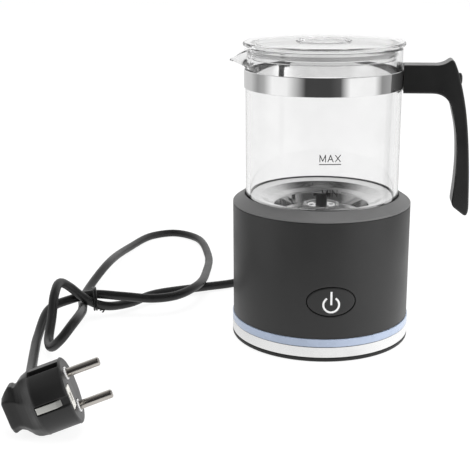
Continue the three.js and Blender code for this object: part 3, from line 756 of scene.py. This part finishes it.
def make_base():
    make_housing()
    lathe("jug_seat_collar", "base", "collar_plastic", "top_collar", 240, [
        (COLLAR_R, 89.6, 0.15), (COLLAR_R, 90.2, 0.4), (57.0, 90.8, 0.4), (50.7, 95.0, 0.3),
        (49.9, 95.2, 0.2), (49.7, 94.8, 0.2), (49.7, 93.6), (50.2, 93.0), (50.2, 78), (48.8, 78), (48.8, 74),
        (52.2, 74), (52.2, 89.6),
    ])
    lathe("glow_band", "base", "light_diffuser", "light_ring", 240,
          [(53, 10.35), (FOOT_R, 10.35, 0.2), (FOOT_R, 15.2, 0.3), (53, 15.2)])
    lathe("trim_band", "base", "brushed_trim", "silver_ring", 240,
          [(54.5, 3.3), (FOOT_R, 3.3, 0.3), (FOOT_R, 10.2, 0.3), (54.5, 10.2)])
    cover = turned("underside_cover", [
        (0, 1.6), (51.6, 1.6), (51.6, 0.5), (FOOT_R, 0.5, 0.9), (FOOT_R, 3.0, 0.3), (54, 3.0), (54, 4.0),
        (0, 4.0),
    ], 200)
    piece(cut(cover, screw_bores()), "base", "cover_plastic", "bottom_cover")
    foot = [(0, 0.5)]
    for radius in (12, 22, 32, 42):
        foot += [(radius, 0.5), (radius, 0, 0.15), (radius + 6.5, 0, 0.15), (radius + 6.5, 0.5)]
    foot += [(51.2, 0.5, 0.2), (51.2, 1.3, 0.2), (0, 1.3)]
    lathe("foot_pad", "base", "foot_rubber", "non_slip_pad", 160, foot, steps=3)
    lathe("hot_plate", "base", "plate_metal", "heater_plate", 200, [
        (0, 78.3), (5, 78.3, 0.3), (6, 78.6, 0.3), (47.6, 78.6, 0.5), (48.4, 77.8, 0.3), (48.4, 76.2),
        (0, 76.2),
    ])
    sleeve = [(0, 50.5), (6.5, 50.5, 0.3), (6.5, 54.1, 0.3), (4.35, 54.1), (4.35, 58.1), (6.2, 58.1, 0.4),
              (6.2, 59.9, 0.6), (4.9, 60.6, 0.3)]
    for k in range(5):
        y, r = 61.2 + 2.7 * k, 4.75 - 0.15 * k
        sleeve += [(r, y, 0.2), (r - 0.8, y + 0.25, 0.2), (r - 0.8, y + 1.2, 0.2), (r - 0.05, y + 1.45, 0.2)]
    sleeve += [(3.9, 75.4, 0.3), (3.4, 75.8, 0.2), (0, 75.8)]
    turn = Matrix.Translation((0, 0, RELIEF_Z)) @ Matrix.Rotation(math.radians(-90), 4, "X")
    lathe("lead_sleeve", "base", "lead_rubber", "strain_relief", 64, sleeve, turn, 3)


make_base()


# ---- power button and its symbol ----
def oval_ring(half_x, half_z, depth=None, y=None):
    """A ring at one Y, or that lies this deep under the round wall."""
    sides = 96
    ring = []
    for k in range(sides):
        cos, sin, _ = polar(1, TAU * k / sides)
        x, z = half_x * cos, half_z * sin
        place = y if y is not None else -math.sqrt((BASE_R - depth) ** 2 - x * x)
        ring.append((x, place, BUTTON_MIDDLE + z))
    return ring


SYMBOL_R = 4.85
SYMBOL_HALF, SYMBOL_PROUD, SYMBOL_SUNK = 0.62, 0.06, 0.6


def stroke_section(narrow=0):
    """The section of a symbol's stroke, as (across, depth): it stands just proud of the button."""
    side = SYMBOL_HALF - narrow
    edge = side - 0.08
    half = [(side, SYMBOL_SUNK), (side, 0), (edge, -SYMBOL_PROUD)]
    return [(-across, depth) for across, depth in half] + [(0, -SYMBOL_PROUD)] + half[::-1]


def make_button():
    wide, tall = BUTTON_HALF
    rings = []
    for k in range(1, 14):
        share = math.sin(k / 13 * math.pi / 2)
        rings.append(oval_ring((wide - 0.9) * share, (tall - 0.9) * share, depth=0.0))
    for depth, inset in ((0.06, 0.55), (0.2, 0.25), (0.42, 0.07), (0.8, 0.0)):
        rings.append(oval_ring(wide - inset, tall - inset, depth=depth))
    cap_depth, flange_depth = 6.3, 1.8
    front = low("power_button").y + cap_depth
    back = front + flange_depth
    for half_x, half_z, y in ((wide, tall, front), (wide + FLANGE, tall + FLANGE, front),
                              (wide + FLANGE, tall + FLANGE, back), (STEM_R, STEM_R, back),
                              (STEM_R, STEM_R, high("power_button").y)):
        rings.append(oval_ring(half_x, half_z, y=y))
    piece(loft("button_cap", rings), "button", "black_shell", "power_button")

    middle = high("power_symbol_ring").z - 5.75
    half_gap = math.radians(33)
    arc = []
    for k in range(81):
        angle = math.pi / 2 + half_gap + (TAU - 2 * half_gap) * k / 80
        ring = []
        for across, depth in stroke_section():
            x, z, _ = polar(SYMBOL_R + across, angle)
            ring.append((x, -math.sqrt((BASE_R - depth) ** 2 - x * x), middle + z))
        arc.append(ring)
    piece(loft("button_symbol_arc", arc), "button", "symbol_white", "power_symbol_ring")
    bottom, top = low("power_symbol_bar").z, high("power_symbol_bar").z
    chamfer = 0.12
    bar = []
    for z, narrow in ((bottom, chamfer), (bottom + chamfer, 0), (top - chamfer, 0), (top, chamfer)):
        bar.append([(x, -math.sqrt((BASE_R - depth) ** 2 - x * x), z) for x, depth in stroke_section(narrow)])
    piece(loft("button_symbol_bar", bar), "button", "symbol_white", "power_symbol_bar")


make_button()

# ---- jug ----
GLASS_R, GLASS_WALL = 49.2, 2.6
GLASS_LOW, GLASS_HIGH = low("jug_glass").z, high("jug_glass").z
SPOUT_START = 176.0
SPOUT_TIP = 181.3
SPOUT_REACH = 10.3
SPOUT_HALF = math.radians(24)
JUG_TURN = Matrix.Rotation(math.radians(-9), 4, "Z")
SCREW_Z = 169.2
SCREW_LINE = JUG_TURN @ Matrix.Translation((0, 0, SCREW_Z)) @ FROM_Z_TO_X


def make_glass():
    edge = 0.8
    outer = [(0, GLASS_LOW + edge + 6 * k) for k in range(16)]
    corner = [(edge - edge * math.cos(a), GLASS_LOW + edge - edge * math.sin(a))
              for a in [math.radians(90) * k / 4 for k in range(4, 0, -1)]]
    sides = 288
    rise = 18
    rings = []
    for i in range(sides):
        angle = TAU * i / sides
        away = abs(math.pi - angle)
        lean = math.cos(away / SPOUT_HALF * math.pi / 2) ** 2 if away < SPOUT_HALF else 0
        rim = GLASS_HIGH - (GLASS_HIGH - SPOUT_TIP) * lean

        def at(inward, up, lift=0.0):
            radius = GLASS_R - inward + SPOUT_REACH * lean * up ** 1.15
            return polar(radius, angle, SPOUT_START + (rim - GLASS_WALL / 2 - SPOUT_START) * up + lift)

        ring = [polar(GLASS_R - d, angle, z) for d, z in corner + outer]
        ring += [at(0, k / rise) for k in range(1, rise + 1)]
        for k in range(1, 8):
            turn = math.pi * k / 8
            ring.append(at(GLASS_WALL / 2 * (1 - math.cos(turn)), 1, GLASS_WALL / 2 * math.sin(turn)))
        ring += [at(GLASS_WALL, k / rise) for k in range(rise, 0, -1)]
        inner = [(GLASS_WALL - d, z) for d, z in corner + outer]
        ring += [polar(GLASS_R - d, angle, z) for d, z in reversed(inner)]
        rings.append(ring)
    wall = moved(loft("glass_wall", rings, wrap=True), JUG_TURN)
    return piece(wall, "jug", "clear_glass", "jug_glass")


LETTER_STROKES = {
    "M": (0.86, [(0, 0), (0, 1), (0.43, 0.1), (0.86, 1), (0.86, 0)]),
    "A": (0.80, [(0, 0), (0.40, 1), (0.80, 0)], [(0.14, 0.34), (0.66, 0.34)]),
    "X": (0.76, [(0, 0), (0.76, 1)], [(0, 1), (0.76, 0)]),
    "I": (0, [(0, 0), (0, 1)]),
    "N": (0.72, [(0, 0), (0, 1), (0.72, 0), (0.72, 1)]),
}
LETTER_SPACE = 0.36
MARK_AZIMUTH = math.radians(-91.5)


def level_mark(name, word, bottom, height, stroke, line_z=None):
    """A printed level word, drawn with thin strokes on the outside of the glass."""
    runs, along = [], 0
    for letter in word:
        wide, *strokes = LETTER_STROKES[letter]
        runs += [[(along + x, z) for x, z in line] for line in strokes]
        along += wide + LETTER_SPACE
    half = (along - LETTER_SPACE) / 2
    lines = [[((x - half) * height, bottom + z * height) for x, z in run] for run in runs]
    if line_z is not None:
        lines.append([(-half * height - 0.2, line_z), (half * height + 0.2, line_z)])
    points, faces = [], []
    for line in lines:
        for (x0, z0), (x1, z1) in zip(line, line[1:]):
            length = math.hypot(x1 - x0, z1 - z0)
            ax, az = (x1 - x0) / length * stroke / 2, (z1 - z0) / length * stroke / 2
            steps = max(int(length / 1.2), 1)
            start = len(points)
            for k in range(steps + 1):
                share = k / steps
                grow = -1 if k == 0 else (1 if k == steps else 0)
                x, z = x0 + (x1 - x0) * share + ax * grow, z0 + (z1 - z0) * share + az * grow
                for side, radius in ((-1, 0.005), (-1, 0.06), (1, 0.06), (1, 0.005)):
                    angle = MARK_AZIMUTH + (x - side * az) / GLASS_R
                    points.append(polar(GLASS_R + radius, angle, z + side * ax))
            skin(faces, start, steps + 1, 4)
            last = start + 4 * steps
            faces += [tuple(start + i for i in range(4)), tuple(last + i for i in range(4))]
    return piece(shape(name, points, faces), "jug", "black_gloss", look="mark_ink")


def make_band():
    inner, outer = 49.5, 50.1
    bottom, top = 163.9, 175.4
    band = turned("b", [
        (inner, bottom, 0.15), (outer, bottom, 0.28), (outer, top, 0.28), (inner, top, 0.15),
    ], 288)
    stud = turned("s", [(0, 49.7), (3.6, 49.7), (3.6, 57.9, 0.3), (2.2, 57.9), (2.2, 53), (0, 53)], 48)
    whole = merged_shape("rim_band", [band, moved(stud, SCREW_LINE)])
    piece(whole, "jug", "polished_steel", "steel_band", look="band_steel")


CURVE_STEPS = 8


def quad_curve(start, control, end):
    """A curve pulled towards a control point, without its first point."""
    result = []
    for k in range(1, CURVE_STEPS + 1):
        t = k / CURVE_STEPS
        a, b, c = (1 - t) ** 2, 2 * t * (1 - t), t * t
        result.append(tuple(a * p + b * q + c * r for p, q, r in zip(start, control, end)))
    return result


def soft_run(points):
    """A smooth run through flat points (uniform Catmull-Rom), without its first point."""
    ends = [Vector(p) for p in (points[0], *points, points[-1])]
    result = []
    for p0, p1, p2, p3 in zip(ends, ends[1:], ends[2:], ends[3:]):
        for k in range(1, CURVE_STEPS + 1):
            t = k / CURVE_STEPS
            result.append(tuple(curve_between(p1, (p2 - p0) / 2, p2, (p3 - p1) / 2, t)))
    return result


def handle_outline():
    line = [(45, 178.5), (70, 178.5)]
    line += quad_curve(line[-1], (74, 178.7), (76.6, 180.6))
    line += quad_curve(line[-1], (79.6, 183.2), (81.0, 179.6))
    line += soft_run([line[-1], (83.3, 173.6), (86.6, 161.3), (89.2, 148), (91.2, 131.5), (92.7, 111),
                      (93.5, 90.5)])
    line += quad_curve(line[-1], (93.7, 81.6), (90.0, 84.2))
    line += [(84.8, 88.2)]
    line += quad_curve(line[-1], (82.4, 90.0), (82.8, 93.6))
    line += soft_run([line[-1], (83.9, 107), (84.2, 122), (82.9, 138.2), (79.6, 152.8)])
    line += quad_curve(line[-1], (76.6, 161), (67.8, 161))
    return line + [(45, 161)]


def make_handle():
    outline = handle_outline()
    half = 8.5
    count = len(outline)
    points = [(x, -half, z) for x, z in outline] + [(x, half, z) for x, z in outline]
    faces = [tuple(range(count)), tuple(range(2 * count - 1, count - 1, -1))]
    skin(faces, 0, 2, count)
    grip = shape("jug_handle", points, faces)
    soften = grip.modifiers.new("edges", "BEVEL")
    soften.width = 1.5 * MM
    soften.segments = 4
    soften.limit_method = "ANGLE"
    soften.angle_limit = math.radians(50)
    fixed(grip)
    clearance = rod(50.4, 140, 200, 288)
    pocket = rod(4, 45, 58.4, 40, SCREW_LINE)
    bore = rod(2.3, 50, 80, 40, SCREW_LINE)
    head = rod(4.4, 79, 100, 48, SCREW_LINE)
    piece(cut(moved(grip, JUG_TURN), [clearance, pocket, bore, head]), "jug", "black_gloss", "handle")
    lathe("screw_plug", "jug", "black_gloss", "screw_cap", 48,
          [(0, 82.2), (4.0, 82.2, 0.2), (4.0, 85.3, 1.2), (2.4, 86.0, 0.8), (0, 86.1)], SCREW_LINE, 6)


def make_jug():
    make_glass()
    level_mark("level_mark_max", "MAX", 125.6, 3.9, 0.5, 123.9)
    level_mark("level_mark_min", "MIN", 104.3, 3.9, 0.5)
    lathe("steel_cup", "jug", "polished_steel", "jug_base_cup", 240, [
        (0, 79), (27.6, 79, 1.5), (29.4, 80.4, 1), (31.3, 87.6, 1), (34.4, 89.9, 1), (39.4, 92.3),
        (43.8, 93.5), (45.1, 93.0, 0.4), (45.1, 79.8), (49.1, 79.8, 0.2), (49.1, 80.9, 0.2), (46.2, 80.9),
        (46.2, 94.2, 0.5), (45.5, 95.0, 0.4), (44.2, 94.6, 0.8), (39.4, 93.8, 1.2), (34.6, 90.4, 1.5),
        (30.4, 88.4, 2.0), (28.5, 81.0, 1.5), (27.0, 80.0, 1.5), (14, 80), (13, 80.25, 0.3),
        (11.5, 80.25, 0.3), (10.5, 80), (0, 80),
    ], steps=6)
    lathe("cup_seal", "jug", "clear_silicone", "jug_seal", 200,
          [(46.5, 81.2, 0.3), (49.1, 81.2, 0.3), (49.1, 82.3, 0.3), (46.5, 82.3, 0.3)])
    lathe("whisk_post", "jug", "polished_steel", "whisk_pin", 48, [
        (0, 80.3), (3.2, 80.3, 0.2), (3.2, 80.9, 0.2), (1.95, 81.1, 0.2), (1.95, 90.0, 0.4), (1.2, 90.6, 0.3),
        (0, 90.8),
    ])
    make_band()
    make_handle()


make_jug()


# ---- lid ----
def make_lid():
    lathe("lid_disc", "lid", "clear_plastic", "lid", 288, [
        (0, 190.3), (43.2, 190.2, 0.6), (43.2, 181.9, 0.3), (45.2, 181.7, 0.4), (45.2, 184.0, 0.2),
        (44.4, 184.1, 0.2), (44.4, 187.2, 0.2), (45.2, 187.3, 0.2), (45.3, 189.9, 0.4), (50.4, 189.9, 0.4),
        (50.8, 190.6, 0.4), (50.8, 191.7, 0.5), (50.2, 192.2, 0.4), (17.6, 192.2, 0.4), (17.0, 193.1, 0.5),
        (15.6, 193.1, 0.5), (15.0, 192.0, 0.4), (0, 192.0),
    ])
    lathe("lid_gasket", "lid", "clear_silicone", "lid_seal", 240, [
        (44.7, 184.4, 0.2), (45.6, 184.4, 0.3), (46.3, 185.6, 0.4), (45.6, 186.9, 0.3), (44.7, 186.9, 0.2),
    ], look="clear_seal")


make_lid()


# ---- whisk ----
def make_whisk():
    hub = turned("h", [
        (0, 91.6), (2.4, 91.4), (2.4, 81.3), (3.2, 81.3), (3.2, 84.0), (7.6, 84.0), (7.6, 81.3),
        (8.4, 81.3, 0.2), (8.4, 84.8, 0.5), (4.4, 85.5, 0.6), (3.7, 86.2, 0.4), (3.7, 94.4, 0.4),
        (3.2, 95.0, 0.2), (0, 95.0),
    ], 72)
    bar = box("b", (10.8, 3.2, 1.8), (0, 0, 94.3), 0.5)
    piece(merged_shape("whisk_spindle", [hub, bar]), "whisk", "black_gloss", "whisk_hub")
    lathe("whisk_magnet_ring", "whisk", "zinc_screws", "whisk_magnet", 64,
          [(3.5, 81.4, 0.2), (7.3, 81.4, 0.2), (7.3, 83.7, 0.2), (3.5, 83.7, 0.2)])
    disc = turned("whisk_plate", [
        (4.0, 86.5), (9.0, 86.5, 0.2), (9.2, 86.9, 0.2), (9.0, 87.3, 0.2), (4.0, 87.3),
    ], 96)
    hole_circle_r = 6.4
    holes = [rod(1.5, 85, 89, 24, Matrix.Translation(polar(hole_circle_r, TAU * i / 6))) for i in range(6)]
    piece(cut(disc, holes), "whisk", "polished_steel", "whisk_disc")
    coils, steps = 52, 12
    ring_r, ring_z, coil_r = 10.6, 86.9, 0.92
    path = []
    for k in range(coils * steps):
        out, up, _ = polar(coil_r, TAU * k / steps)
        path.append(polar(ring_r + out, TAU * k / (coils * steps), ring_z + up))
    piece(tube("whisk_spring", path, 0.38, 6, wrap=True), "whisk", "polished_steel", "whisk_coil")


make_whisk()

# ---- materials on the CAD nodes that still show ----
for entry in frame["record"]["subparts"]:
    for holder in frame["nodes"][entry["node"]].material_slots:
        holder.material = LOOKS[entry["material_slot"]]


# ---- floor, world, light ----
FLOOR_SIZE = 12000
AHEAD = math.atan2(CAMERA_PLACE[0], -CAMERA_PLACE[1])


def flat_floor(name):
    size = FLOOR_SIZE
    corners = [(-size, -size, 0), (size, -size, 0), (size, size, 0), (-size, size, 0)]
    floor = shape(name, corners, [(0, 1, 2, 3)])
    return floor


def hide_from(thing, *rays):
    for kind in rays:
        setattr(thing, "visible_" + kind, False)


def make_floor():
    """The pale floor, seen by everything but glossy reflections."""
    floor = flat_floor("studio_floor")
    paint = Paint("studio_paper")
    cloud = paint.noise(paint.place, 3, 3)
    fibre = paint.noise(paint.place, 700, 3)
    paint.wear(Base_Color=paint.tones(cloud, grey(0.19), grey(0.21)), Normal=paint.bumps(fibre, 0.05, 0.02),
               Roughness=0.9, Emission_Color=(1, 1, 1, 1), Emission_Strength=0.87, Specular_IOR_Level=0.1)
    floor.data.materials.append(paint.material)
    hide_from(floor, "glossy")


# Painted reflection: what the shiny parts see, as grey levels by degrees round the jug, counted from the
# camera towards +X, painted as glow on a floor that only glossy rays see. Close to the jug the level stands
# for bare table; further out it paints a white card on each side of a dark gap in front, and a grey back.
NEAR_END, FAR_START = 0.22, 0.46
NEAR_PAINTED_REFLECTION = [(-180, 0.65), (-60, 0.85), (20, 0.9), (50, 1.1), (95, 1.1), (120, 0.9), (180, 0.65)]
FAR_PAINTED_REFLECTION = [(-180, 0.7), (-125, 0.6), (-106, 0.33), (-92, 0.45), (-76, 1.0), (-52, 0.95), (-37, 0.5),
              (-24, 0.06), (10, 0.06), (24, 0.1), (38, 1.0), (76, 1.0), (90, 0.3), (180, 0.7)]


def make_painted_reflection_floor():
    """A glowing copy of the floor that only glossy rays see, with painted reflections on it: the dark front
    of the studio, its white cards and its grey back.
    """
    floor = flat_floor("painted_reflection_floor")
    paint = Paint("painted_studio_reflection")
    x, y, _ = paint.parts(paint.place)
    turn = {"Vector": paint.place, "Angle": math.pi / 2 - AHEAD}
    facing = paint.node("ShaderNodeVectorRotate", turn, rotation_type="Z_AXIS").outputs[0]
    across, ahead, _ = paint.parts(facing)
    degrees = paint.maths("MULTIPLY", paint.maths("ARCTAN2", ahead, across), math.degrees(1))
    near_to_far = paint.between(paint.radius(x, y), 0, 1, NEAR_END, FAR_START)
    seen = paint.mix(near_to_far, paint.levels(degrees, NEAR_PAINTED_REFLECTION), paint.levels(degrees, FAR_PAINTED_REFLECTION))
    # painted reflection: the floor glows with these levels, though it is no lamp
    paint.wear(Emission_Color=seen, Base_Color=(0, 0, 0, 1), Roughness=1, Emission_Strength=1.0,
               Specular_IOR_Level=0)
    floor.data.materials.append(paint.material)
    hide_from(floor, "camera", "diffuse", "shadow", "transmission")


def softbox(name, azimuth, distance, height, size, power):
    """An area light at an azimuth round the jug, counted from -Y towards +X."""
    data = bpy.data.lights.new(name, "AREA")
    data.shape = "RECTANGLE"
    data.size, data.size_y = size
    data.energy = power
    lamp = placed(name, data)
    angle = math.radians(azimuth)
    place = Vector((distance * math.sin(angle), -distance * math.cos(angle), height))
    aim = Vector((0, 0, 0.1)) - place
    lamp.matrix_world = Matrix.Translation(place) @ aim.to_track_quat("-Z", "Y").to_matrix().to_4x4()
    hide_from(lamp, "camera", "glossy", "transmission")


# grey levels of the sky by how far a direction points towards the camera, then straight above
SKY_ROUND = [(-1, 1.0), (-0.8, 0.85), (-0.3, 0.55), (0.1, 0.45), (0.4, 0.30), (0.62, 0.06), (1, 0.04)]
TOP_START, TOP_FULL = 0.72, 0.95
SKY_TOP = 0.62
SKY_TOP_REFLECTED = 0.03
BACKDROP = 0.96


def make_world():
    world = bpy.data.worlds.new("studio")
    world.use_nodes = True
    sky = Nodes(world.node_tree)
    place = sky.node("ShaderNodeTexCoord", {}).outputs["Generated"]
    to_camera = Vector((*CAMERA_PLACE[:2], 0)).normalized()
    front = sky.node("ShaderNodeVectorMath", {0: place, 1: to_camera}, operation="DOT_PRODUCT")
    above = sky.between(sky.parts(place)[2], 0, 1, TOP_START, TOP_FULL)
    rays = sky.node("ShaderNodeLightPath", {}).outputs
    top = sky.mix(rays["Is Glossy Ray"], (*grey(SKY_TOP), 1), (*grey(SKY_TOP_REFLECTED), 1))
    studio = sky.mix(above, sky.levels(front.outputs["Value"], SKY_ROUND), top)
    seen = sky.mix(rays["Is Camera Ray"], studio, (*grey(BACKDROP), 1))
    sky.feed(world.node_tree.nodes["Background"].inputs["Color"], seen)
    bpy.context.scene.world = world


make_floor()
make_painted_reflection_floor()
make_world()
softbox("right_softbox", 62, 1.3, 0.5, (0.7, 1.2), 17)
softbox("left_softbox", -75, 1.4, 0.5, (0.9, 1.2), 8)
softbox("top_softbox", 20, 0.15, 1.6, (1.2, 1.2), 12)
bpy.context.scene.view_settings.view_transform = "Standard"
